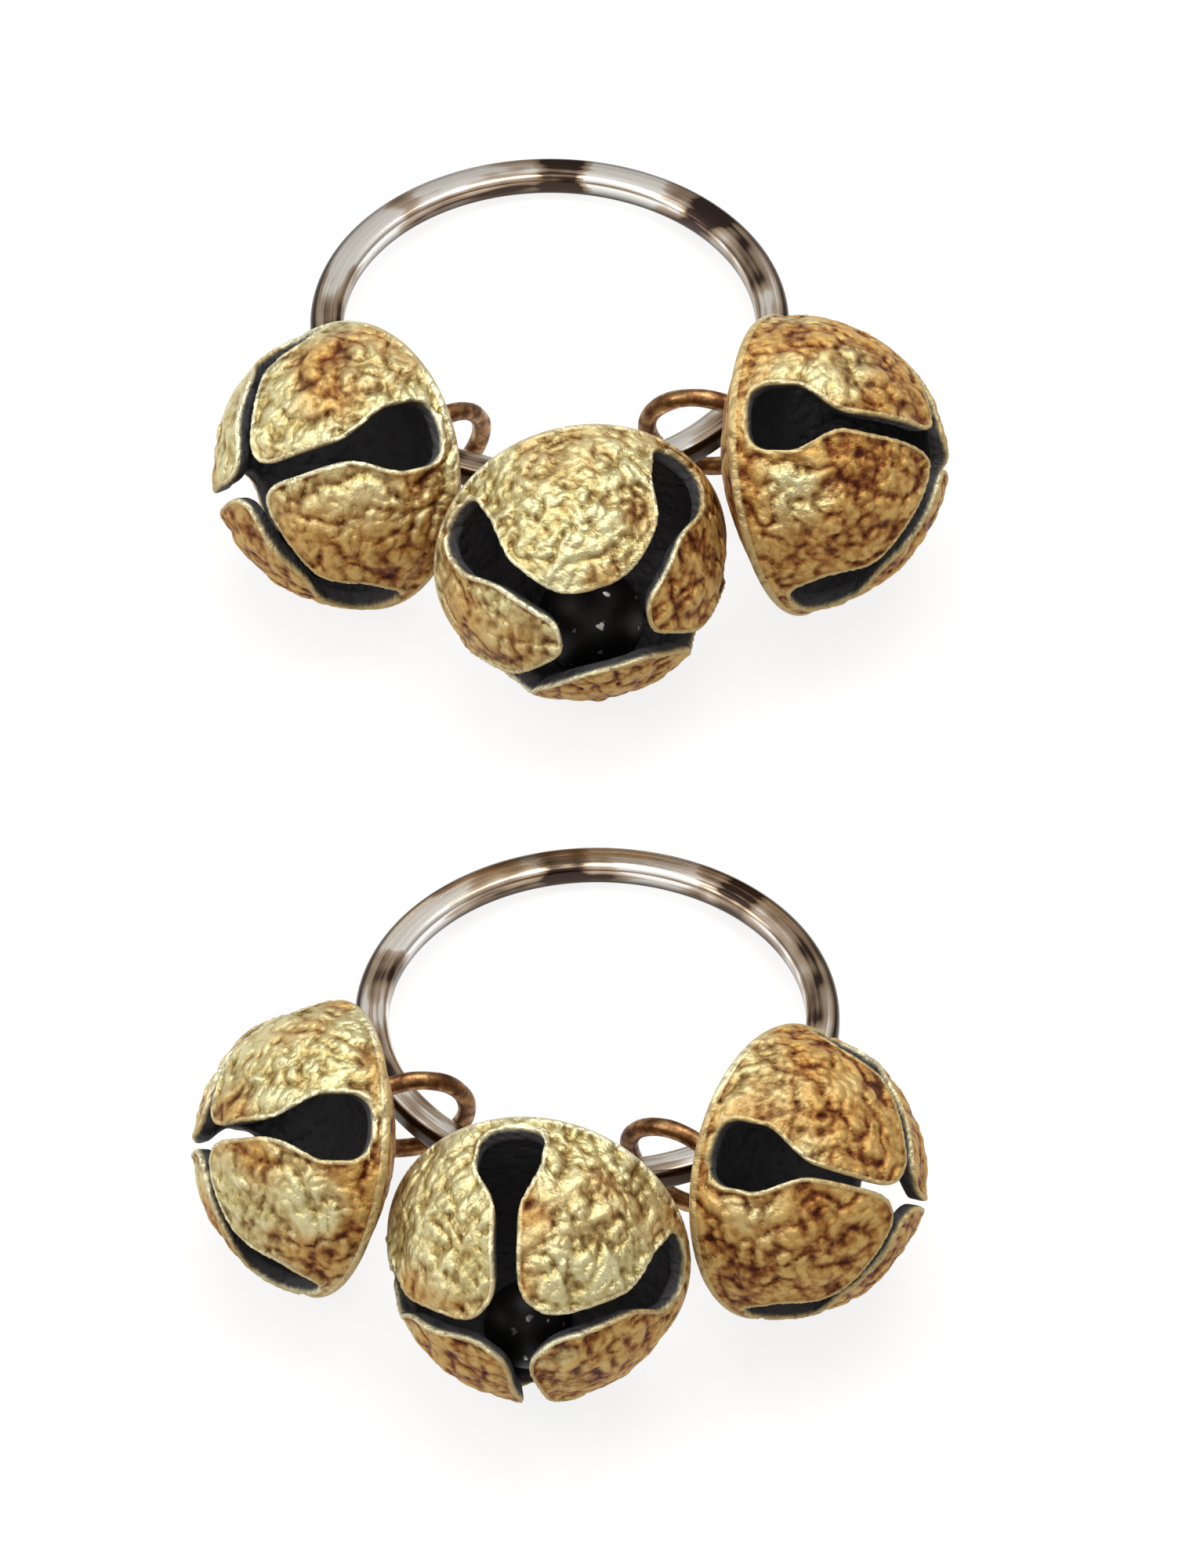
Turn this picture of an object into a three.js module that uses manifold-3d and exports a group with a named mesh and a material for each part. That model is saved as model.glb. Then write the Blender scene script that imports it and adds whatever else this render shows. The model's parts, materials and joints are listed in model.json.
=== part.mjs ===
// A pair of finger bell sets. Each set is a plated finger ring that carries three cast brass pellet bells.
// Millimetres, +Z up. The origin is on the table, under the middle of the pair, and -Y is the bells' side.
import * as THREE from 'three';
import { mergeVertices } from 'three/addons/utils/BufferGeometryUtils.js';
import Module from 'manifold-3d';

// Finger rings, bent from drawn strip with broken edges
const ringBore = 20.0;
const ringWidth = 1.6;
const ringHeight = 1.2;
const ringChamfer = 0.4;
const ringTilt = 11;
const ringSegments = 44;

// How the two sets lie on the table
const setSpacing = 41.1;
const setShift = 2.3;

// Bell castings: a bud of four petals in front of the rim, a shallow dome behind it
const rimRadius = 7.2;
const budLength = 7.6;
const backDepth = 2.6;
const wall = 0.9;
const budFullness = 2.0;
const shellFacets = { segments: 28, backSteps: 3, budSteps: 7 };
const cavityFacets = { segments: 20, backSteps: 2, budSteps: 5 };

// Slots between the petals, and the star where they meet at the tip
const slotWidth = 3.2;
const slotNeck = 1.2;
const slotCorner = 1.1;
const slotRimMargin = 0.7;
const slotWideLength = 2.0;
const slotTaper = 2.6;
const starReach = 3.5;

// Wire eyes on the bells' backs
const eyeWire = 0.9;
const eyeHole = 4.6;
const seatGap = 0.3;

// Loose pellets, too big to leave by a slot or the star. Each lies pelletAhead of its radius in front of the rim.
const pelletCapture = 0.6;
const pelletClearance = 0.9;
const pelletAhead = 0.7;

// The bells of each set. Rim, bud and tip are shares of rimRadius, budLength and starReach, which differ as in
// hand castings. Yaw turns a bell's axis from -Y towards +X, slotRoll turns its slots about that axis, and
// slotSpread is the angle between its two slot lines. As shares of eyeHole, the ring sits eyePlay above the
// middle of the eye, the bell is drawn eyePull away from the ring, and the eye stands eyeShift beside the
// bell's axis. A side bell slides along the ring, slideStep degrees at a time, until it lies bellGap from the
// middle bell.
const bellGap = 0.35;
const slideStep = 0.25;
const sets = [
  {
    name: 'upper',
    place: 1,
    middle: { name: 'centre', ringAngle: 2, yaw: 11, rim: 0.99, bud: 1.0, tip: 1.3,
      eyePlay: 0.13, eyePull: 0.22, eyeShift: 0, slotRoll: -46, slotSpread: 105 },
    sides: [
      { name: 'left', hand: -1, yaw: -56, rim: 0.97, bud: 0.97, tip: 0.7,
        eyePlay: 0.06, eyePull: -0.22, eyeShift: 0, slotRoll: -32, slotSpread: 90 },
      { name: 'right', hand: 1, yaw: 82, rim: 1.01, bud: 1.05, tip: 0.7,
        eyePlay: -0.16, eyePull: 0.15, eyeShift: 0.55, slotRoll: 18, slotSpread: 90 },
    ],
  },
  {
    name: 'lower',
    place: -1,
    middle: { name: 'centre', ringAngle: -9, yaw: -11, rim: 1.015, bud: 1.01, tip: 1.05,
      eyePlay: 0.08, eyePull: 0.23, eyeShift: 0, slotRoll: 12, slotSpread: 90 },
    sides: [
      { name: 'left', hand: -1, yaw: -81, rim: 0.985, bud: 0.86, tip: 0.65,
        eyePlay: -0.11, eyePull: 0.21, eyeShift: -0.55, slotRoll: -28, slotSpread: 90 },
      { name: 'right', hand: 1, yaw: 62.5, rim: 0.985, bud: 1.0, tip: 0.65,
        eyePlay: -0.04, eyePull: 0.07, eyeShift: -0.17, slotRoll: 33, slotSpread: 90 },
    ],
  },
];

const ringInner = ringBore / 2;
const ringOuter = ringInner + ringWidth;
const ringMiddle = ringInner + ringWidth / 2;
const eyeLoop = (eyeHole + eyeWire) / 2;
const radians = THREE.MathUtils.degToRad;

const nickel = new THREE.MeshStandardMaterial({ color: 0xb9b2a6, roughness: 0.22, metalness: 1 });
const brass = new THREE.MeshStandardMaterial({ color: 0xc8a24e, roughness: 0.45, metalness: 1 });
const copperWire = new THREE.MeshStandardMaterial({ color: 0x7a4a30, roughness: 0.4, metalness: 1 });
const iron = new THREE.MeshStandardMaterial({ color: 0x6b6a6c, roughness: 0.35, metalness: 1 });

// Booleans
const wasm = await Module();
wasm.setup();

function toSolid(geometry) {
  geometry.deleteAttribute('normal');
  geometry.deleteAttribute('uv');
  const merged = mergeVertices(geometry, 1e-4);
  const index = merged.index.array;
  const triVerts = [];
  for (let i = 0; i < index.length; i += 3) {
    const [a, b, c] = index.slice(i, i + 3);
    if (a !== b && b !== c && c !== a) triVerts.push(a, b, c);
  }
  return new wasm.Manifold(new wasm.Mesh({
    numProp: 3,
    vertProperties: new Float32Array(merged.attributes.position.array),
    triVerts: new Uint32Array(triVerts),
  }));
}

function toGeometry(solid) {
  const mesh = solid.getMesh();
  const geometry = new THREE.BufferGeometry();
  geometry.setAttribute('position', new THREE.BufferAttribute(mesh.vertProperties, 3));
  geometry.setIndex(new THREE.BufferAttribute(mesh.triVerts, 1));
  geometry.computeVertexNormals();
  return geometry;
}

// A solid turned about +Z, from profile points of radius and height that run up the outside
function turned(profile, segments) {
  return new THREE.LatheGeometry(profile, segments).rotateX(Math.PI / 2);
}

// The bell's outline from the back's middle to the rim and on to the bud's tip, as radius and height
function bellOutline(bell, offset, facets) {
  const radius = bell.rim * rimRadius + offset;
  const depth = backDepth + offset;
  const length = bell.bud * budLength + offset;
  const outline = [];
  for (let i = 0; i < facets.backSteps; i += 1) {
    const share = i / facets.backSteps;
    outline.push(new THREE.Vector2(radius * share, -depth * (1 - share ** 2)));
  }
  for (let i = 0; i < facets.budSteps; i += 1) {
    const turn = (i / facets.budSteps) * (Math.PI / 2);
    const across = radius * Math.cos(turn) ** (2 / budFullness);
    outline.push(new THREE.Vector2(across, length * Math.sin(turn) ** (2 / budFullness)));
  }
  outline.push(new THREE.Vector2(0, length));
  return outline;
}

// The same body as a test, for a point in the bell's own axes
function isInside(bell, offset, point) {
  const share = Math.hypot(point.x, point.y) / (bell.rim * rimRadius + offset);
  if (point.z < 0) return -point.z < (backDepth + offset) * (1 - share ** 2);
  return share ** budFullness + (point.z / (bell.bud * budLength + offset)) ** budFullness < 1;
}

// The bell's outer body, or with a negative offset its cavity
function bellBody(bell, offset, facets) {
  return toSolid(turned(bellOutline(bell, offset, facets), facets.segments));
}

// One slot line cuts two slots: each has a wide round end by the rim and narrows to a neck towards the tip
function slotCutter(bell, angle) {
  const wide = slotWidth / 2;
  const neck = slotNeck / 2;
  const top = bell.bud * budLength + wall;
  const shoulder = slotRimMargin + slotWideLength;
  const throat = shoulder + slotTaper;
  const bend = slotTaper / 2;
  const outline = new THREE.Shape();
  outline.moveTo(-neck, top);
  outline.lineTo(-neck, throat);
  outline.bezierCurveTo(-neck, throat - bend, -wide, shoulder + bend, -wide, shoulder);
  outline.lineTo(-wide, slotRimMargin + slotCorner);
  outline.absarc(slotCorner - wide, slotRimMargin + slotCorner, slotCorner, Math.PI, 1.5 * Math.PI);
  outline.lineTo(wide - slotCorner, slotRimMargin);
  outline.absarc(wide - slotCorner, slotRimMargin + slotCorner, slotCorner, 1.5 * Math.PI, 2 * Math.PI);
  outline.lineTo(wide, shoulder);
  outline.bezierCurveTo(wide, shoulder + bend, neck, throat - bend, neck, throat);
  outline.lineTo(neck, top);
  outline.closePath();
  const reach = bell.rim * rimRadius + wall;
  const cutter = new THREE.ExtrudeGeometry(outline, { depth: 2 * reach, bevelEnabled: false, curveSegments: 4 });
  return toSolid(cutter.translate(0, 0, -reach).rotateX(Math.PI / 2).rotateZ(angle));
}

// The star at the tip: an astroid, whose hollow sides leave the petals with rounded ends
function starCutter(bell, angle) {
  const reach = bell.tip * starReach;
  const outline = new THREE.Shape();
  const points = 24;
  for (let i = 0; i < points; i += 1) {
    const turn = (i / points) * 2 * Math.PI;
    const x = reach * Math.cos(turn) ** 3;
    const y = reach * Math.sin(turn) ** 3;
    if (i === 0) outline.moveTo(x, y);
    else outline.lineTo(x, y);
  }
  outline.closePath();
  const base = (bell.bud * budLength) / 2;
  const cutter = new THREE.ExtrudeGeometry(outline, { depth: base + wall, bevelEnabled: false });
  return toSolid(cutter.translate(0, 0, base).rotateZ(angle));
}

function shellGeometry(bell) {
  const first = radians(bell.slotRoll);
  const second = first + radians(bell.slotSpread);
  const star = (first + second) / 2 - Math.PI / 4;
  const shell = bellBody(bell, 0, shellFacets)
    .subtract(bellBody(bell, -wall, cavityFacets))
    .subtract(slotCutter(bell, first))
    .subtract(slotCutter(bell, second))
    .subtract(starCutter(bell, star));
  return toGeometry(shell);
}

// From the rim back to the middle of the eye, which stands on the dome at its own place
function eyeDepth(bell) {
  const share = (bell.eyeShift * eyeHole) / (bell.rim * rimRadius);
  return backDepth * (1 - share ** 2) + eyeHole / 2;
}

// The eye is a round wire loop that stands on the dome, in a plane along the bell's axis
function eyeGeometry(bell) {
  const loop = new THREE.TorusGeometry(eyeLoop, eyeWire / 2, 8, 20);
  const solid = toSolid(loop.rotateY(Math.PI / 2).translate(bell.eyeShift * eyeHole, 0, -eyeDepth(bell)));
  return toGeometry(solid.subtract(bellBody(bell, seatGap, shellFacets)));
}

// The widest ball that the openings let through is as wide as a slot, or as the star between its hollow sides
function pelletRadius(bell) {
  return (Math.max(slotWidth, bell.tip * starReach) + pelletCapture) / 2;
}

function ringGeometry() {
  const half = ringHeight / 2;
  const c = ringChamfer;
  const profile = [
    [ringInner, c - half], [ringInner + c, -half], [ringOuter - c, -half], [ringOuter, c - half],
    [ringOuter, half - c], [ringOuter - c, half], [ringInner + c, half], [ringInner, half - c],
    [ringInner, c - half],
  ].map(([radius, height]) => new THREE.Vector2(radius, height));
  return turned(profile, ringSegments);
}

function addMesh(parent, name, geometry, material) {
  const mesh = new THREE.Mesh(geometry, material);
  mesh.name = name;
  parent.add(mesh);
  return mesh;
}

// The ring lies with its far side on the table and its near side up, where the bells hold it
const lean = radians(ringTilt);
const ringRise = ringOuter * Math.sin(lean) + (ringHeight / 2) * Math.cos(lean);
const ringFar = new THREE.Vector3(0, Math.cos(lean), -Math.sin(lean));

function ringPoint(angle) {
  return new THREE.Vector3(ringMiddle * Math.sin(angle), 0, ringRise)
    .addScaledVector(ringFar, -ringMiddle * Math.cos(angle));
}

// A bell leans back on its rim until the ring, at the given height, lies in its eye
function restingLean(bell, height) {
  const upright = bell.rim * rimRadius + bell.eyePlay * eyeHole;
  const back = eyeDepth(bell) + bell.eyePull * eyeHole;
  return Math.acos(height / Math.hypot(upright, back)) - Math.atan2(back, upright);
}

// A bell's own axes at its place on the ring: across through its eye, upward, and forward out of its bud
function bellAxes(bell, angle) {
  const yaw = radians(bell.yaw);
  const rise = restingLean(bell, ringPoint(angle).z);
  const across = new THREE.Vector3(Math.cos(yaw), Math.sin(yaw), 0);
  const forward = new THREE.Vector3(Math.sin(yaw), -Math.cos(yaw), 0)
    .multiplyScalar(Math.cos(rise))
    .setZ(Math.sin(rise));
  return { across, upward: new THREE.Vector3().crossVectors(forward, across), forward };
}

// From the ring to the middle of the bell's rim, in the bell's own axes
function rimOffset(bell) {
  return new THREE.Vector3(-bell.eyeShift, -bell.eyePlay, bell.eyePull)
    .multiplyScalar(eyeHole)
    .setZ(eyeDepth(bell) + bell.eyePull * eyeHole);
}

function rimPlace(bell, angle) {
  const { across, upward, forward } = bellAxes(bell, angle);
  return new THREE.Matrix4().makeBasis(across, upward, forward)
    .setPosition(ringPoint(angle))
    .multiply(new THREE.Matrix4().setPosition(rimOffset(bell)));
}

// Whether any point of one bell's outside comes closer than bellGap to the other bell
function reaches(bell, place, other, otherPlace) {
  const toOther = otherPlace.clone().invert().multiply(place);
  return bellOutline(bell, 0, shellFacets).some(({ x, y }) => {
    for (let i = 0; i < shellFacets.segments; i += 1) {
      const turn = (i / shellFacets.segments) * 2 * Math.PI;
      const point = new THREE.Vector3(x * Math.cos(turn), x * Math.sin(turn), y).applyMatrix4(toOther);
      if (isInside(other, bellGap, point)) return true;
    }
    return false;
  });
}

// A side bell slides along the ring until it clears the middle bell
function sideAngle(bell, middle) {
  let angle = radians(middle.ringAngle);
  const middlePlace = rimPlace(middle, angle);
  let place;
  do {
    angle += bell.hand * radians(slideStep);
    place = rimPlace(bell, angle);
  } while (reaches(bell, place, middle, middlePlace) || reaches(middle, middlePlace, bell, place));
  return angle;
}

// The swing group's origin lies on the ring's middle line, where the bell swings
function addBell(parent, setName, bell, angle) {
  const { across, upward, forward } = bellAxes(bell, angle);
  const swing = new THREE.Group();
  swing.name = `${setName}_${bell.name}_swing`;
  swing.position.copy(ringPoint(angle));
  swing.quaternion.setFromRotationMatrix(new THREE.Matrix4().makeBasis(across, upward, forward));
  parent.add(swing);
  const body = new THREE.Group();
  body.position.copy(rimOffset(bell));
  swing.add(body);
  addMesh(body, `${setName}_${bell.name}_shell`, shellGeometry(bell), brass);
  addMesh(body, `${setName}_${bell.name}_eye`, eyeGeometry(bell), copperWire);
  const radius = pelletRadius(bell);
  const ball = new THREE.IcosahedronGeometry(radius, 1);
  const pellet = addMesh(body, `${setName}_${bell.name}_pellet`, ball, iron);
  const pelletDrop = bell.rim * rimRadius - wall - pelletClearance - radius;
  pellet.position.set(0, -pelletDrop, pelletAhead * radius);
}

const pair = new THREE.Group();
for (const set of sets) {
  const group = new THREE.Group();
  group.position.set(-set.place * setShift / 2, set.place * setSpacing / 2, 0);
  pair.add(group);
  const ring = addMesh(group, `${set.name}_ring`, ringGeometry(), nickel);
  ring.position.z = ringRise;
  ring.rotation.x = -lean;
  addBell(group, set.name, set.middle, radians(set.middle.ringAngle));
  for (const bell of set.sides) {
    addBell(group, set.name, bell, sideAngle(bell, set.middle));
  }
}

pair.updateMatrixWorld(true);
const box = new THREE.Box3().setFromObject(pair, true);
const middle = box.getCenter(new THREE.Vector3());
pair.position.set(-middle.x, -middle.y, -box.min.z);
pair.updateMatrixWorld(true);

export default pair;
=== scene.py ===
"""Finger bells: two finger rings, each carrying three cast brass pellet bells on wire eyes."""
import itertools
import json
import math

import bpy
import numpy as np
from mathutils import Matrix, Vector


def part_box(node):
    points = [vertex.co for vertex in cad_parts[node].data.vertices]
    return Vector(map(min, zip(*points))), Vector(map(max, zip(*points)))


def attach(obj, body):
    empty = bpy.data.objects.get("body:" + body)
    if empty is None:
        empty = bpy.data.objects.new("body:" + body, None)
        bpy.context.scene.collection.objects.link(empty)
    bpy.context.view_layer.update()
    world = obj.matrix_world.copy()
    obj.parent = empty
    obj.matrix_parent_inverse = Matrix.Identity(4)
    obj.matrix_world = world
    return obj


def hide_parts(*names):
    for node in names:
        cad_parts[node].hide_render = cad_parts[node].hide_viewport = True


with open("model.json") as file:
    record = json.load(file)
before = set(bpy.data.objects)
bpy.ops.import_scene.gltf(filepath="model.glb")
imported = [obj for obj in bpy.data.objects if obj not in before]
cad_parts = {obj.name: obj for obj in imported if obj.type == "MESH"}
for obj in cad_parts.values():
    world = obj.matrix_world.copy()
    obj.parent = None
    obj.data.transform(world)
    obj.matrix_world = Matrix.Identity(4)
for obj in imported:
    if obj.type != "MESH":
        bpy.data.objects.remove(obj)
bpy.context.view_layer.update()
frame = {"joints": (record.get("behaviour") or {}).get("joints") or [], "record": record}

import openvdb
from mathutils import Matrix, Vector

# Finger rings. Each is a flat strip of nickel-plated metal, bent round until its ends meet in a butt joint.
# The long edges are rolled over, the faces are polished along the strip, and the bells' eyes hang on it.
# Lengths here and below are in millimetres, angles in degrees, and the meshes are made in metres.
mm = 0.001
ring_bore = 20.0
strip_width = 1.6
strip_height = 1.2
strip_edge_round = 0.36
middle_radius = (ring_bore + strip_width) / 2
joint_gap = 0.1
joint_angle = {"upper": 158, "lower": 29}
ring_steps = 260
corner_steps = 6
# Painted highlights and painted dark reflections, at set turns round each ring.
highlight_angles = {"upper": (70, 146), "lower": (74, 146)}
highlight_reach = 15
dark_reflection_angles = {"upper": (87, 44), "lower": (99, 50)}
dark_reflection_reach = 8
span_core = 0.4
reflection_strength = 0.13
strip_pattern_shift = {"upper": 0, "lower": -21}
# Painted dark reflection: a dark line along the outer edge and along the lower inner edge.
outer_edge = (0.29, 0.39)
inner_edge = (0.30, 0.42)
inner_edge_drop = (0.05, 0.25)
# Colours along the strip, near black to near white: the plating's own tone and painted reflection.
plate_and_reflection_colours = (
    (0.41, (0.05, 0.032, 0.026)), (0.455, (0.34, 0.25, 0.175)),
    (0.52, (0.58, 0.47, 0.37)), (0.56, (0.93, 0.91, 0.87)))
dark_edge_reflection_colour = (0.06, 0.042, 0.032, 1)


def add_piece(name, points, faces, place):
    """A smooth mesh object whose points, in millimetres of its own axes, are put in place in the frame."""
    turn = np.array(place.to_3x3())
    mesh = bpy.data.meshes.new(name)
    mesh.from_pydata(np.asarray(points) * mm @ turn.T + np.array(place.translation), [], faces)
    mesh.update()
    mesh.shade_smooth()
    piece = bpy.data.objects.new(name, mesh)
    bpy.context.scene.collection.objects.link(piece)
    return piece


def finish_piece(piece, body, node, material):
    """Gives a piece its material, hangs it on the body it rides on and hides the CAD node that it stands
    for.
    """
    piece.data.materials.append(material)
    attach(piece, body)
    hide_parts(node)


def set_share(piece, name, values):
    """Stores a number from 0 to 1 for each point of a piece, for its material to read."""
    attribute = piece.data.attributes.new(name, "FLOAT", "POINT")
    attribute.data.foreach_set("value", np.clip(values, 0, 1).astype(np.float32))


def share_of(tree, name):
    return add_node(tree, "ShaderNodeAttribute", attribute_name=name).outputs["Fac"]


def new_material(name):
    material = bpy.data.materials.new(name)
    material.use_nodes = True
    tree = material.node_tree
    return material, tree, tree.nodes["Principled BSDF"]


def add_node(tree, kind, **values):
    """A node whose inputs, or else its settings, have the given values."""
    node = tree.nodes.new(kind)
    for key, value in values.items():
        if key in node.inputs:
            node.inputs[key].default_value = value
        else:
            setattr(node, key, value)
    return node


def add_ramp(tree, factor, stops):
    ramp = tree.nodes.new("ShaderNodeValToRGB")
    tree.links.new(factor, ramp.inputs["Fac"])
    elements = ramp.color_ramp.elements
    while len(elements) < len(stops):
        elements.new(0.5)
    for element, (place, colour) in zip(elements, stops):
        element.position = place
        element.color = (*colour, 1)
    return ramp.outputs["Color"]


def mix_colour(tree, factor, first, second, blend="MIX"):
    """Mixes two colours by a factor; each of the three is a socket or a plain value."""
    node = tree.nodes.new("ShaderNodeMix")
    node.data_type = "RGBA"
    node.blend_type = blend
    for socket, value in zip((node.inputs[0], node.inputs[6], node.inputs[7]), (factor, first, second)):
        if isinstance(value, bpy.types.NodeSocket):
            tree.links.new(value, socket)
        else:
            socket.default_value = value
    return node.outputs[2]


def map_range(tree, value, low, high, to_low, to_high):
    node = tree.nodes.new("ShaderNodeMapRange")
    tree.links.new(value, node.inputs["Value"])
    for key, number in (("From Min", low), ("From Max", high), ("To Min", to_low), ("To Max", to_high)):
        node.inputs[key].default_value = number
    return node.outputs["Result"]


def join_values(tree, operation, first, second):
    """One number from two sockets, by a math operation."""
    node = add_node(tree, "ShaderNodeMath", operation=operation)
    tree.links.new(first, node.inputs[0])
    tree.links.new(second, node.inputs[1])
    return node.outputs[0]


def stretched_noise(tree, place, stretch, detail):
    """Noise over a place that is first stretched by three factors."""
    stretched = add_node(tree, "ShaderNodeVectorMath", operation="MULTIPLY")
    tree.links.new(place, stretched.inputs[0])
    stretched.inputs[1].default_value = stretch
    noise = add_node(tree, "ShaderNodeTexNoise", Scale=1, Detail=detail, Roughness=0.6)
    tree.links.new(stretched.outputs["Vector"], noise.inputs["Vector"])
    return noise.outputs["Fac"]


def place_bump(tree, height, strength, depth):
    """Bumps the shader with a height, on top of the bump that it has."""
    normal = tree.nodes["Principled BSDF"].inputs["Normal"]
    bump = add_node(tree, "ShaderNodeBump", Strength=strength, Distance=depth * mm)
    tree.links.new(height, bump.inputs["Height"])
    if normal.is_linked:
        tree.links.new(normal.links[0].from_socket, bump.inputs["Normal"])
    tree.links.new(bump.outputs["Normal"], normal)


def smooth_step(low, high, value):
    """0 below the low value, 1 above the high one, with an even rise between them."""
    share = np.clip((value - low) / (high - low), 0, 1)
    return share * share * (3 - 2 * share)


def strip_section():
    """Corner points of the strip's rounded section, as radial and upward offsets from its middle."""
    points = []
    for quarter, (side, up) in enumerate(((1, 1), (-1, 1), (-1, -1), (1, -1))):
        across = side * (strip_width / 2 - strip_edge_round)
        high = up * (strip_height / 2 - strip_edge_round)
        for step in range(corner_steps + 1):
            turn = (quarter + step / corner_steps) * math.pi / 2
            out = across + strip_edge_round * math.cos(turn)
            points.append((out, high + strip_edge_round * math.sin(turn)))
    return points


def ring_mesh(start):
    """The bent strip, whose two square ends are joint_gap apart at the start, and where each point is on it:
    how far along the strip, round its section, out from its middle line and up."""
    section = np.array(strip_section())
    count = len(section)
    round_section = np.cumsum(np.linalg.norm(section - np.roll(section, 1, axis=0), axis=1))
    half_gap = joint_gap / 2 / middle_radius
    turns = start + half_gap + np.linspace(0, 2 * (math.pi - half_gap), ring_steps + 1)
    points = []
    on_strip = []
    for turn in turns:
        for (out, up), around in zip(section, round_section):
            radius = middle_radius + out
            points.append((radius * math.cos(turn), radius * math.sin(turn), up))
            on_strip.append(((turn - start) * middle_radius, around, out, up))
    faces = []
    for step in range(ring_steps):
        for i in range(count):
            near = step * count + i
            side = step * count + (i + 1) % count
            faces.append((near, near + count, side + count, side))
    faces.append(tuple(range(count)))
    faces.append(tuple(ring_steps * count + i for i in reversed(range(count))))
    return points, faces, np.array(on_strip)


def near_angles(turns, angles, reach):
    """How near each turn is to one of the given angles: 1 close to it, 0 beyond its reach."""
    apart = np.abs((turns[:, None] - np.array(angles) + 180) % 360 - 180).min(axis=1)
    return 1 - smooth_step(span_core, 1, apart / reach)


def nickel_material():
    material, tree, shader = new_material("polished_nickel")
    strip = add_node(tree, "ShaderNodeAttribute", attribute_name="strip").outputs["Vector"]
    patches = stretched_noise(tree, strip, (0.2, 0.45, 0), detail=2)
    streaks = stretched_noise(tree, strip, (0.05, 2.4, 0), detail=3)
    draw_lines = stretched_noise(tree, strip, (0.15, 11, 0), detail=2)
    # Painted highlights and painted dark reflections: the level is lifted or lowered at set turns.
    painted_reflection = map_range(tree, share_of(tree, "painted_reflection"), 0, 1, -reflection_strength, reflection_strength)
    level = join_values(tree, "ADD", mix_colour(tree, 0.4, patches, streaks), painted_reflection)
    # The colour ramp holds the plating's tone and painted reflection.
    lined = mix_colour(tree, 0.2, add_ramp(tree, level, plate_and_reflection_colours), draw_lines, "OVERLAY")
    # Painted dark reflection along the strip's edges.
    edged = mix_colour(tree, share_of(tree, "edge"), lined, dark_edge_reflection_colour)
    tree.links.new(edged, shader.inputs["Base Color"])
    tree.links.new(map_range(tree, draw_lines, 0.3, 0.7, 0.16, 0.32), shader.inputs["Roughness"])
    shader.inputs["Metallic"].default_value = 1
    place_bump(tree, draw_lines, strength=0.35, depth=0.02)
    return material


polished_nickel = nickel_material()
mounts = {mount["name"]: mount for mount in frame["record"]["mounts"]}
for side in ("upper", "lower"):
    low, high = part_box(f"{side}_ring")
    upward = -Vector(mounts[f"{side}_ring_underside"]["axis"]).normalized()
    place = Matrix.Translation((low + high) / 2) @ upward.to_track_quat("Z", "Y").to_matrix().to_4x4()
    points, faces, on_strip = ring_mesh(math.radians(joint_angle[side]))
    ring = add_piece(f"{side}_finger_ring", points, faces, place)
    strip = ring.data.attributes.new("strip", "FLOAT_VECTOR", "POINT")
    on_strip[:, 0] += strip_pattern_shift[side]
    strip.data.foreach_set("vector", on_strip[:, :3].astype(np.float32).ravel())
    out = on_strip[:, 2] / strip_width
    up = on_strip[:, 3] / strip_height
    # Painted dark reflection along the outer edge and the lower inner edge.
    outer_line = smooth_step(*outer_edge, out)
    inner_line = smooth_step(*inner_edge, -out) * smooth_step(*inner_edge_drop, -up)
    set_share(ring, "edge", np.maximum(outer_line, inner_line))
    from_middle = np.array(points) @ np.array(place.to_3x3()).T
    turns = np.degrees(np.arctan2(from_middle[:, 1], from_middle[:, 0]))
    # Painted reflection: lighter near the highlight angles, darker near the dark reflection angles.
    bright = near_angles(turns, highlight_angles[side], highlight_reach)
    darkened = near_angles(turns, dark_reflection_angles[side], dark_reflection_reach)
    set_share(ring, "painted_reflection", (1 + bright) / 2 * (1 - darkened))
    finish_piece(ring, f"{side}_ring", f"{side}_ring", polished_nickel)

# Bell shells. Each is one brass casting: a bud of four petals over a shallow domed back, with a narrow rim
# between them. The petals have smooth borders and crumpled fields; the slots between them are teardrops that
# open into a star at the tip. The inside is dark with casting scale and painted shade.
rim_radius = 7.2
bud_length = 7.6
back_depth = 2.6
shell_wall = 0.9
rim_round = 0.1
rim_bead = 0.27
bead_blend = 0.15
slot_width = 3.2
slot_corner = 1.1
slot_rim_margin = 0.7
slot_wide_length = 2.0
slot_taper = 2.6
slot_end_round = 0.2
slot_blend = 0.3
star_reach = 3.5
star_point_round = 0.1
star_end_round = 0.3
star_blend = 0.4
cut_wobble = 0.14
wobble_size = 2.4
edge_round = 0.2
border_width = 0.34
border_level_share = 0.55
border_height = 0.03
fold_size = 1.5
fold_depth = 0.14
fold_level = 0.8
crease_sizes = (0.95, 0.5)
crease_depths = (0.15, 0.09)
crease_level = 0.95
crease_sharpness = 0.7
crease_skew = np.array(Matrix.Rotation(0.7, 3, (0.3, 0.8, 0.5)))
warp_size = 1.3
warp_reach = 0.8
front_heights = (-0.2, 0.3)
back_relief = 0.4
relief_reach = 1.0
shell_step = 0.16
shell_room = 0.6
inside_depths = (-0.3, -0.14)
# Faces turned up and left, towards the softboxes, are painted lighter; faces turned away get painted shade.
lit_side = Vector((-0.42, 0.0, 0.9)).normalized()
lit_range = (0.2, 0.95)
patch_size = 2.6
patch_strength = 1.3
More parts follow.
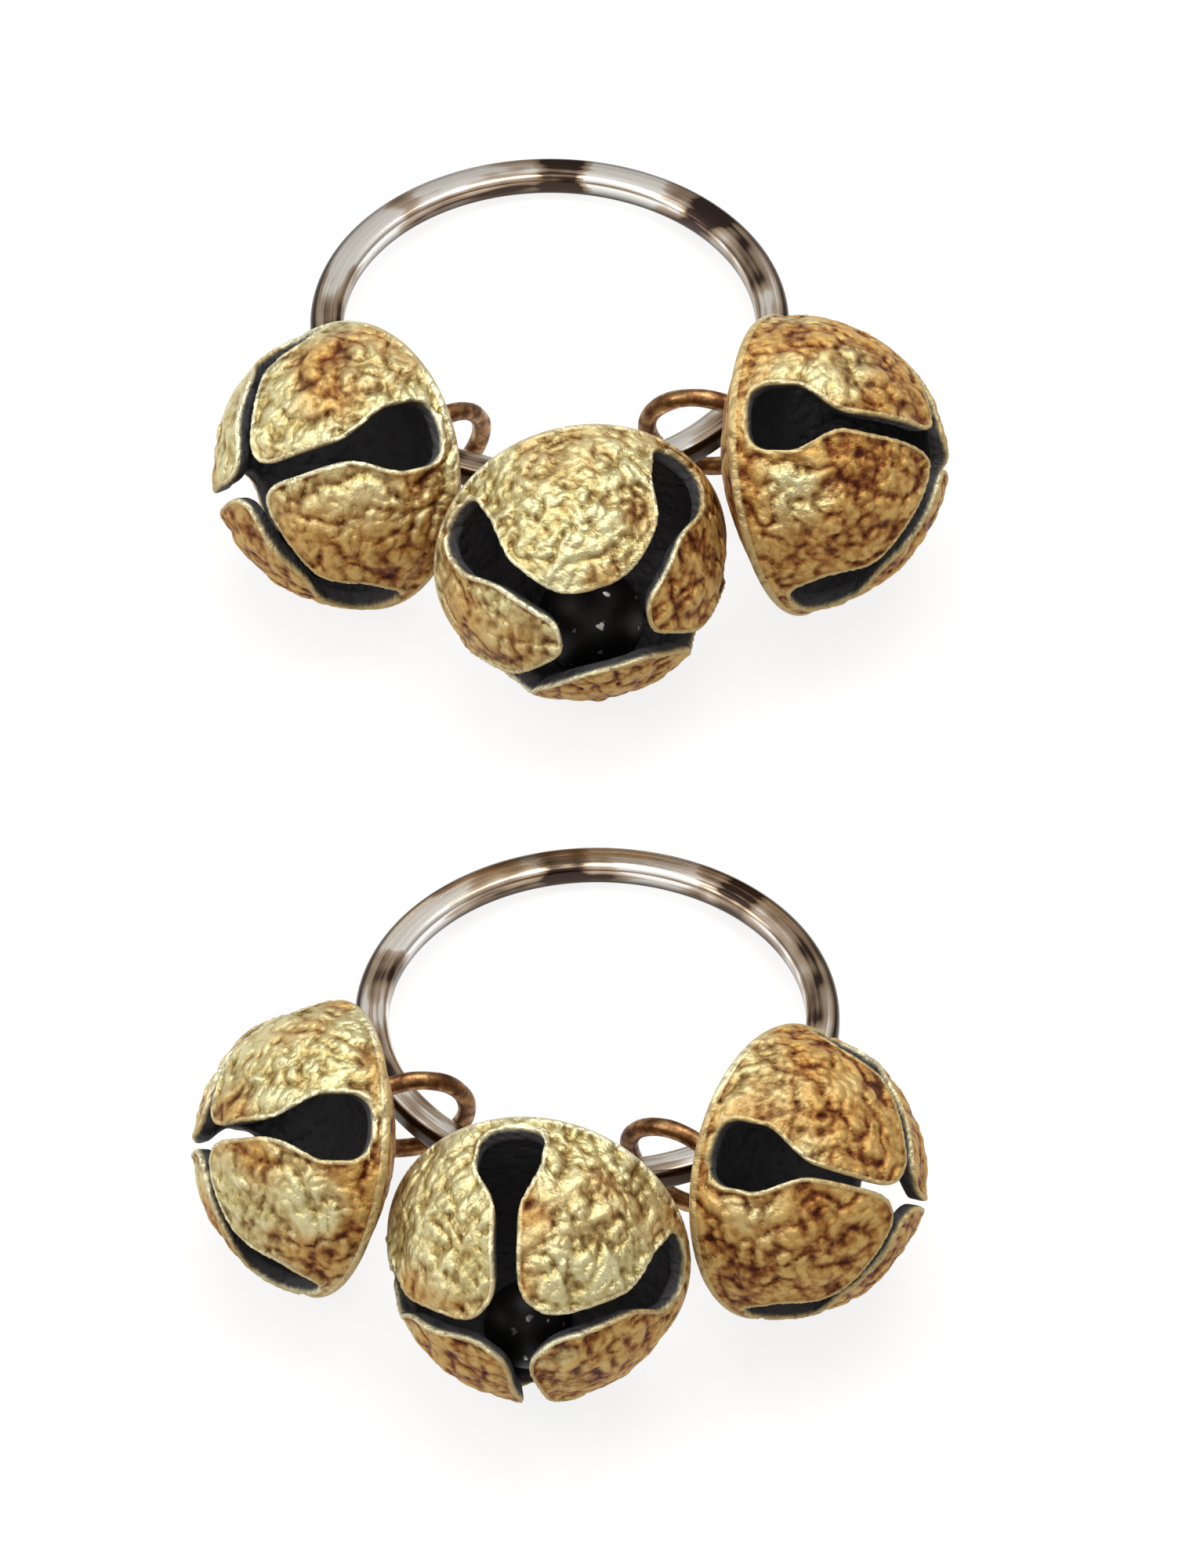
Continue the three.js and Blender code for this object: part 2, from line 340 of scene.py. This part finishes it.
# Lit, clean brass and shaded, tarnished brass: the second is also painted shade.
lit_clean_brass = (
    (0.05, (0.24, 0.14, 0.045)), (0.28, (0.45, 0.34, 0.13)),
    (0.52, (0.63, 0.54, 0.25)), (0.85, (0.78, 0.72, 0.42)))
shaded_tarnished_brass = (
    (0.08, (0.065, 0.014, 0.007)), (0.32, (0.23, 0.075, 0.021)),
    (0.58, (0.45, 0.225, 0.06)), (0.92, (0.66, 0.43, 0.145)))
groove_shares = ((0.0, (0, 0, 0)), (0.3, (0.25, 0.25, 0.25)), (0.6, (0.1, 0.1, 0.1)), (0.8, (0, 0, 0)))
groove_colour = (0.13, 0.055, 0.016, 1)
lip_colours = ((0.0, (0.86, 0.82, 0.56)), (1.0, (0.62, 0.47, 0.22)))
# Near black of the inside: casting scale and painted shade.
scale_and_shade_colour = (0.07, 0.068, 0.072, 1)
# Each casting's rim, bud and star are shares of the sizes above. It has its own neck for its slots, turn and
# spread of the slots, seed for its relief and level of tarnish and painted shade.
casting_keys = ("rim", "bud", "tip", "neck", "slot_roll", "slot_spread", "seed", "tarnish_and_shade")
casting_rows = {
    "upper_left": (0.97, 0.97, 0.75, 0.9, -32, 90, 11, 0.04),
    "upper_centre": (0.99, 1.0, 1.3, 1.2, -46, 105, 23, 0.08),
    "upper_right": (1.01, 1.05, 0.7, 1.0, 18, 90, 37, 0.44),
    "lower_left": (0.985, 0.86, 0.65, 0.6, -28, 90, 41, 0.0),
    "lower_centre": (1.015, 1.01, 1.05, 1.1, 12, 90, 59, -0.1),
    "lower_right": (0.985, 1.0, 0.65, 0.5, 33, 90, 67, 0.46),
}
castings = {name: dict(zip(casting_keys, row)) for name, row in casting_rows.items()}
joints = {joint["name"]: joint for joint in frame["joints"]}


def bell_place(name):
    """The bell's own axes, from the middle of its rim: across its back, upward and out of its bud."""
    roll = joints[f"{name}_roll"]
    forward = Vector(roll["axis"]).normalized()
    across = Vector((-forward.y, forward.x, 0)).normalized()
    upward = forward.cross(across)
    turn = Matrix((across, upward, forward)).transposed().to_4x4()
    return Matrix.Translation(roll["pos_m"]) @ turn


def smooth_max(first, second, radius):
    """The larger of two distances, with the corner between them rounded."""
    share = np.clip(0.5 + 0.5 * (first - second) / radius, 0, 1)
    return second + (first - second) * share + radius * share * (1 - share)


def smooth_min(first, second, radius):
    return -smooth_max(-first, -second, radius)


def scatter(cells, seed):
    """A fixed pseudo-random number from 0 to 1 for each cell of a lattice."""
    cell_steps = np.array([127.1, 311.7, 74.7])
    seed_step = 17.3
    gain = 43758.5453
    mixed = np.sin(cells @ cell_steps + seed * seed_step) * gain
    return mixed - np.floor(mixed)


def drift(points, size, seed):
    """Smooth noise from 0 to 1 that changes over the given size."""
    scaled = points / size
    cell = np.floor(scaled)
    part = scaled - cell
    part = part * part * (3 - 2 * part)
    total = np.zeros(len(points))
    for corner in itertools.product((0, 1), repeat=3):
        weight = np.prod(np.where(corner, part, 1 - part), axis=1)
        total += weight * scatter(cell + corner, seed)
    return total


def crumples(points, seed):
    """A crumpled surface: 0 in its sharp creases, 1 on the crowns between them."""
    warp = np.stack([drift(points, warp_size, seed + i) for i in range(3)], axis=1) - 0.5
    total = np.zeros(len(points))
    for i, (size, depth) in enumerate(zip(crease_sizes, crease_depths)):
        wave = drift((points + warp_reach * warp) @ crease_skew, size, seed + 7 + i)
        total += depth * np.clip(np.abs(4 * wave - 2), 0, 1) ** crease_sharpness
    return total / sum(crease_depths)


def body_distance(points, casting):
    """Distance outside the bell's plain outer body: half an ellipsoid in front, a shallow dome behind."""
    tiny = 1e-6
    radius = casting["rim"] * rim_radius
    length = casting["bud"] * bud_length
    out = np.hypot(points[:, 0], points[:, 1])
    high = np.maximum(points[:, 2], 0)
    reach = np.maximum(np.hypot(out / radius, high / length), tiny)
    slope = np.hypot(out / radius ** 2, high / length ** 2) / reach
    bud = (reach - 1) / np.maximum(slope, tiny)
    dome = back_depth * (1 - (out / radius) ** 2)
    back = (-points[:, 2] - dome) / np.hypot(1, 2 * back_depth * out / radius ** 2)
    return smooth_max(bud, back, rim_round)


def slot_half_width(height, neck):
    """Half of a slot's width: round at its end by the rim, wide for a stretch, then narrow to its neck."""
    lift = np.clip(height - slot_rim_margin, 0, slot_corner)
    corner = np.sqrt(np.maximum(slot_corner ** 2 - (slot_corner - lift) ** 2, 0))
    rounded = slot_width / 2 - slot_corner + corner
    shoulder = slot_rim_margin + slot_wide_length
    return rounded - (slot_width - neck) / 2 * smooth_step(shoulder, shoulder + slot_taper, height)


def opening_distance(points, casting):
    """Distance from the slots and the star, measured across the petals."""
    rise = 0.05
    far_off = 9.0
    height = points[:, 2]
    half = slot_half_width(height, casting["neck"])
    above = slot_half_width(height + rise, casting["neck"])
    below = slot_half_width(height - rise, casting["neck"])
    slope = np.hypot(1, (above - below) / (2 * rise))
    first = math.radians(casting["slot_roll"])
    spread = math.radians(casting["slot_spread"])
    wobble = cut_wobble * (2 * drift(points, wobble_size, casting["seed"]) - 1)
    nearest = np.full(len(points), far_off)
    for turn in (first, first + spread):
        beside = np.abs(points[:, 0] * math.cos(turn) + points[:, 1] * math.sin(turn))
        slot = smooth_max((beside - half) / slope, slot_rim_margin - height, slot_end_round)
        nearest = smooth_min(nearest, slot, slot_blend)
    turn = first + spread / 2 - math.pi / 4
    along = np.abs(points[:, 0] * math.cos(turn) + points[:, 1] * math.sin(turn)) + star_point_round
    beside = np.abs(points[:, 1] * math.cos(turn) - points[:, 0] * math.sin(turn)) + star_point_round
    astroid = (along ** (2 / 3) + beside ** (2 / 3)) ** 1.5
    slope = astroid ** (1 / 3) * np.hypot(along ** (-1 / 3), beside ** (-1 / 3))
    star = (astroid - casting["tip"] * star_reach) / slope
    star = smooth_max(star, casting["bud"] * bud_length / 2 - height, star_end_round)
    return smooth_min(nearest, star, star_blend) + wobble


def petal_relief(points, casting, opening):
    """How far the petals' borders and crumples stand out of the plain body, with the shares of both."""
    rim = np.hypot(np.hypot(points[:, 0], points[:, 1]) - casting["rim"] * rim_radius, points[:, 2])
    border = 1 - smooth_step(border_level_share * border_width, border_width, np.minimum(opening, rim))
    crowns = crumples(points, casting["seed"])
    front = smooth_step(*front_heights, points[:, 2])
    folds = fold_depth * (drift(points, fold_size, casting["seed"] + 5) - fold_level)
    creases = sum(crease_depths) * (crowns - crease_level)
    field = (creases + folds) * (back_relief + (1 - back_relief) * front) * (1 - border)
    return border_height * border * front + field, crowns, border


def shell_distance(points, casting):
    """Distance outside the whole casting: the body with its relief and rim, hollowed and cut open."""
    body = body_distance(points, casting)
    opening = opening_distance(points, casting)
    near = np.abs(body) < relief_reach
    outside = body.copy()
    outside[near] -= petal_relief(points[near], casting, opening[near])[0]
    bead_radius = casting["rim"] * rim_radius - rim_bead
    bead = np.hypot(np.hypot(points[:, 0], points[:, 1]) - bead_radius, points[:, 2]) - rim_bead
    outside = smooth_min(outside, bead, bead_blend)
    walled = smooth_max(outside, -(body + shell_wall), edge_round)
    return smooth_max(walled, -opening, edge_round)


def field_mesh(distance, low, high, step):
    """The surface where a distance field is zero, as points and four-sided faces."""
    axes = [np.arange(start, end + step, step) for start, end in zip(low, high)]
    grid_points = np.stack(np.meshgrid(*axes, indexing="ij"), axis=-1)
    values = distance(grid_points.reshape(-1, 3)).reshape(grid_points.shape[:3])
    grid = openvdb.FloatGrid(float(values.max()))
    grid.copyFromArray(values.astype(np.float32))
    points, quads = grid.convertToQuads(isovalue=0.0)
    return points * step + np.array(low), quads.tolist()


def casting_grain_group():
    """Fine pits and grains of cast metal, as a height and as a mask of the pits."""
    group = bpy.data.node_groups.new("casting_grain", "ShaderNodeTree")
    group.interface.new_socket("Grain Size", in_out="INPUT", socket_type="NodeSocketFloat")
    group.interface.new_socket("Height", in_out="OUTPUT", socket_type="NodeSocketFloat")
    group.interface.new_socket("Pits", in_out="OUTPUT", socket_type="NodeSocketFloat")
    start = group.nodes.new("NodeGroupInput")
    end = group.nodes.new("NodeGroupOutput")
    place = group.nodes.new("ShaderNodeTexCoord").outputs["Object"]
    scale = add_node(group, "ShaderNodeMath", operation="DIVIDE")
    scale.inputs[0].default_value = 1
    group.links.new(start.outputs["Grain Size"], scale.inputs[1])
    noise = add_node(group, "ShaderNodeTexNoise", Detail=5, Roughness=0.65)
    cells = add_node(group, "ShaderNodeTexVoronoi", feature="SMOOTH_F1", Smoothness=0.4)
    for texture in (noise, cells):
        group.links.new(place, texture.inputs["Vector"])
        group.links.new(scale.outputs[0], texture.inputs["Scale"])
    grains = map_range(group, cells.outputs["Distance"], 0, 1, 0, 0.5)
    height = join_values(group, "SUBTRACT", noise.outputs["Fac"], grains)
    group.links.new(height, end.inputs["Height"])
    group.links.new(map_range(group, noise.outputs["Fac"], 0.38, 0.28, 0, 1), end.inputs["Pits"])
    return group


def place_grain(tree, size, strength, depth):
    """Puts the casting grain in a material and bumps its shader with it; returns the grain's sockets."""
    grain = tree.nodes.new("ShaderNodeGroup")
    grain.node_tree = casting_grain
    grain.inputs["Grain Size"].default_value = size * mm
    place_bump(tree, grain.outputs["Height"], strength, depth)
    return grain.outputs


def brass_material():
    material, tree, shader = new_material("cast_brass")
    crown = share_of(tree, "crown")
    tarnish_and_shade = share_of(tree, "tarnish_and_shade")
    border = share_of(tree, "border")
    inside = share_of(tree, "inside")
    place_bump(tree, crown, strength=0.8, depth=0.3)
    height = place_grain(tree, size=0.42, strength=0.9, depth=0.13)["Height"]
    level = join_values(tree, "ADD", crown, map_range(tree, height, 0.05, 0.45, -0.25, 0.25))
    bright = add_ramp(tree, level, lit_clean_brass)
    dull = add_ramp(tree, level, shaded_tarnished_brass)
    # Mixes lit, clean brass with shaded, tarnished brass: random tarnish patches and painted shade.
    field = mix_colour(tree, tarnish_and_shade, bright, dull)
    grooved = mix_colour(tree, add_ramp(tree, border, groove_shares), field, groove_colour)
    lip_share = map_range(tree, border, 0.5, 0.9, 0, 1)
    lipped = mix_colour(tree, lip_share, grooved, add_ramp(tree, tarnish_and_shade, lip_colours))
    tree.links.new(mix_colour(tree, inside, lipped, scale_and_shade_colour), shader.inputs["Base Color"])
    matt = join_values(tree, "MAXIMUM", tarnish_and_shade, inside)
    tree.links.new(map_range(tree, matt, 0, 1, 0.36, 0.52), shader.inputs["Roughness"])
    metal_by_tarnish_and_shade = map_range(tree, tarnish_and_shade, 0, 1, 0.75, 0.6)
    metal = join_values(tree, "MULTIPLY", metal_by_tarnish_and_shade, map_range(tree, inside, 0, 1, 1, 0))
    tree.links.new(metal, shader.inputs["Metallic"])
    shader.inputs["Specular IOR Level"].default_value = 0.1
    return material


casting_grain = casting_grain_group()
cast_brass = brass_material()
for name, casting in castings.items():
    reach = casting["rim"] * rim_radius + shell_room
    low = (-reach, -reach, -back_depth - shell_room)
    high = (reach, reach, casting["bud"] * bud_length + shell_room)
    points, faces = field_mesh(lambda spots: shell_distance(spots, casting), low, high, shell_step)
    shell = add_piece(f"{name}_casting", points, faces, bell_place(name))
    opening = opening_distance(points, casting)
    body = body_distance(points, casting)
    relief, crowns, border = petal_relief(points, casting, opening)
    # Painted shade mixed with tarnish: faces turned from the lamps, and random patches, get darker brass.
    facing_light = np.array([vertex.normal.dot(lit_side) for vertex in shell.data.vertices])
    patches = drift(points, patch_size, casting["seed"] + 3)
    lit_and_clean = facing_light - casting["tarnish_and_shade"] + patch_strength * (patches - 0.5)
    set_share(shell, "crown", crowns)
    set_share(shell, "border", border)
    # The inside turns near black: casting scale, and painted shade of the closed hollow.
    set_share(shell, "inside", 1 - smooth_step(*inside_depths, body - relief))
    set_share(shell, "tarnish_and_shade", 1 - smooth_step(*lit_range, lit_and_clean))
    finish_piece(shell, f"{name}_bell", f"{name}_shell", cast_brass)

# Wire eyes. Each is a loop of round copper-coloured wire that stands on the back of its shell, along the
# bell's axis. It is brazed to the dome, with a fillet of braze round each foot. The finger ring passes
# through it. A shift puts an eye beside the bell's axis, by a share of its hole.
eye_wire = 0.9
eye_hole = 4.6
eye_shift = {"upper_left": 0, "upper_centre": 0, "upper_right": 0.55,
             "lower_left": -0.55, "lower_centre": 0, "lower_right": -0.17}
eye_root = 0.25
braze_fillet = 0.7
braze_reach = 0.45
braze_round = 0.15
wire_wander = 0.08
wander_size = 1.1
eye_step = 0.12
eye_side_room = 0.6
eye_end_room = 0.7
eye_back_room = 0.5
eye_front = 0.3
copper_colours = ((0.32, (0.075, 0.032, 0.014)), (0.48, (0.22, 0.105, 0.045)), (0.66, (0.46, 0.28, 0.12)))
copper_pit_colour = (0.05, 0.02, 0.01, 1)


def eye_distance(points, casting, shift):
    """Distance outside the wire loop and the braze at its feet, down to its root in the shell's wall."""
    middle = back_depth * (1 - (shift / (casting["rim"] * rim_radius)) ** 2) + eye_hole / 2
    from_loop = np.hypot(points[:, 1], points[:, 2] + middle) - (eye_hole + eye_wire) / 2
    wire = np.hypot(from_loop, points[:, 0] - shift) - eye_wire / 2
    wire -= wire_wander * (drift(points, wander_size, casting["seed"] + 8) - 0.5)
    body = body_distance(points, casting)
    brazed = smooth_min(wire, body, braze_fillet)
    collar = smooth_max(brazed, wire - braze_reach, braze_round)
    return np.maximum(collar, -(body + eye_root))


def object_noise(tree, scale, **values):
    """Noise over the piece's own place in the frame."""
    place = add_node(tree, "ShaderNodeTexCoord").outputs["Object"]
    noise = add_node(tree, "ShaderNodeTexNoise", Scale=scale, **values)
    tree.links.new(place, noise.inputs["Vector"])
    return noise.outputs["Fac"]


def copper_material():
    material, tree, shader = new_material("browned_copper")
    pits = place_grain(tree, size=0.35, strength=0.4, depth=0.04)["Pits"]
    clouds = object_noise(tree, scale=1500, Detail=4, Roughness=0.6)
    copper = add_ramp(tree, clouds, copper_colours)
    tree.links.new(mix_colour(tree, pits, copper, copper_pit_colour), shader.inputs["Base Color"])
    tree.links.new(map_range(tree, clouds, 0.3, 0.7, 0.5, 0.3), shader.inputs["Roughness"])
    shader.inputs["Metallic"].default_value = 1
    return material


browned_copper = copper_material()
for name, casting in castings.items():
    shift = eye_shift[name] * eye_hole
    half = eye_hole / 2 + eye_wire + eye_end_room
    low = (shift - eye_wire - eye_side_room, -half, -back_depth - eye_hole - eye_wire - eye_back_room)
    high = (shift + eye_wire + eye_side_room, half, eye_front)
    points, faces = field_mesh(lambda spots: eye_distance(spots, casting, shift), low, high, eye_step)
    eye = add_piece(f"{name}_wire_eye", points, faces, bell_place(name))
    finish_piece(eye, f"{name}_bell", f"{name}_eye", browned_copper)

# Pellets. Each is a loose ball of iron shot, closed into the shell when the petals are bent over it. It is
# dark with a few small painted glints, too big to leave through a slot or the star, and lies at the bottom.
pellet_capture = 0.6
dent_depth = 0.06
dent_size = 1.2
dent_level = 0.7
pellet_step = 0.15
pellet_room = 0.4
iron_colour = (0.02, 0.018, 0.018, 1)
iron_pit_colour = (0.008, 0.006, 0.005, 1)
# Painted glints: a few small bright spots on the dark iron.
painted_glint_colour = (0.55, 0.52, 0.50, 1)


def iron_material():
    material, tree, shader = new_material("iron_with_painted_glints")
    pits = place_grain(tree, size=0.3, strength=0.25, depth=0.03)["Pits"]
    # Painted glints: small bright spots where the noise is high.
    glints = map_range(tree, object_noise(tree, scale=1600, Detail=2), 0.66, 0.72, 0, 1)
    dark = mix_colour(tree, pits, iron_colour, iron_pit_colour)
    tree.links.new(mix_colour(tree, glints, dark, painted_glint_colour), shader.inputs["Base Color"])
    tree.links.new(map_range(tree, glints, 0, 1, 0.5, 0.2), shader.inputs["Roughness"])
    shader.inputs["Metallic"].default_value = 0.8
    return material


def pellet_distance(points, radius, seed):
    dents = dent_depth * (drift(points, dent_size, seed) - dent_level)
    return np.linalg.norm(points, axis=1) - radius - dents


iron_with_painted_glints = iron_material()
for name, casting in castings.items():
    radius = (max(slot_width, casting["tip"] * star_reach) + pellet_capture) / 2
    reach = np.full(3, radius + pellet_room)
    low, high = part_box(f"{name}_pellet")
    points, faces = field_mesh(
        lambda spots: pellet_distance(spots, radius, casting["seed"]), -reach, reach, pellet_step)
    pellet = add_piece(f"{name}_shot", points, faces, Matrix.Translation((low + high) / 2))
    finish_piece(pellet, f"{name}_pellet", f"{name}_pellet", iron_with_painted_glints)

# The floor, the light and the camera. The floor is plain white paper that takes a faint shadow, a wide
# softbox hangs above the bells with a weaker one on the left, and the camera looks down from far off with a
# long lens. The softboxes' places and sizes and the camera's distance are in metres.
half_floor = 1500
floor_glow = 0.83
photo_height = 2000
photo_pixels_per_mm = 26.5
view_height = 54.5
view_distance = 2.0
frame_height = photo_height / photo_pixels_per_mm * mm
look_at = Vector((0.92, 1.46, 0)) * mm
sensor_width = 36
ceiling_colours = (
    (0.0, (0.30, 0.27, 0.24)), (0.25, (0.22, 0.20, 0.18)),
    (0.55, (0.55, 0.53, 0.50)), (0.85, (0.95, 0.94, 0.92)))


def paper_material():
    """White paper: what the camera and the metal see of it glows, so only the shadow on it is dark."""
    material, tree, shader = new_material("white_paper")
    shader.inputs["Base Color"].default_value = (0.2, 0.2, 0.2, 1)
    shader.inputs["Roughness"].default_value = 1
    shader.inputs["Specular IOR Level"].default_value = 0
    shader.inputs["Emission Color"].default_value = (1, 1, 1, 1)
    path = tree.nodes.new("ShaderNodeLightPath").outputs
    mirrored = join_values(tree, "MAXIMUM", path["Is Glossy Ray"], path["Is Transmission Ray"])
    seen = join_values(tree, "MAXIMUM", path["Is Camera Ray"], mirrored)
    tree.links.new(map_range(tree, seen, 0, 1, 0, floor_glow), shader.inputs["Emission Strength"])
    return material


def add_softbox(name, place, size, power, colour):
    """A rectangular lamp that faces the middle of the bells."""
    lamp = bpy.data.lights.new(name, "AREA")
    lamp.shape = "RECTANGLE"
    lamp.size, lamp.size_y = size
    lamp.energy = power
    lamp.color = colour
    softbox = bpy.data.objects.new(name, lamp)
    softbox.location = place
    softbox.rotation_euler = (-Vector(place)).to_track_quat("-Z", "Y").to_euler()
    bpy.context.scene.collection.objects.link(softbox)


corners = [(x * half_floor, y * half_floor, 0) for x, y in ((-1, -1), (1, -1), (1, 1), (-1, 1))]
floor = add_piece("paper_floor", corners, [(0, 1, 2, 3)], Matrix.Identity(4))
floor.data.materials.append(paper_material())

add_softbox("top_softbox", place=(0.02, 0.12, 0.42), size=(0.34, 0.26), power=1.25, colour=(1.0, 0.98, 0.95))
add_softbox("left_softbox", place=(-0.4, -0.05, 0.3), size=(0.2, 0.3), power=0.65, colour=(1.0, 0.97, 0.92))
world = bpy.data.worlds.new("studio")
bpy.context.scene.world = world
world.use_nodes = True
sky = world.node_tree
direction = add_node(sky, "ShaderNodeSeparateXYZ")
sky.links.new(add_node(sky, "ShaderNodeTexCoord").outputs["Generated"], direction.inputs["Vector"])
ceiling = add_ramp(sky, direction.outputs["Z"], ceiling_colours)
sky.links.new(ceiling, sky.nodes["Background"].inputs["Color"])
bpy.context.scene.view_settings.view_transform = "Standard"

lens = bpy.data.cameras.new("long_lens")
lens.sensor_width = sensor_width
lens.lens = sensor_width * view_distance / frame_height
camera = bpy.data.objects.new("camera", lens)
bpy.context.scene.collection.objects.link(camera)
rise = math.radians(view_height)
toward = Vector((0, -math.cos(rise), math.sin(rise)))
camera.location = look_at + toward * view_distance
camera.rotation_euler = (-toward).to_track_quat("-Z", "Y").to_euler()
bpy.context.scene.camera = camera
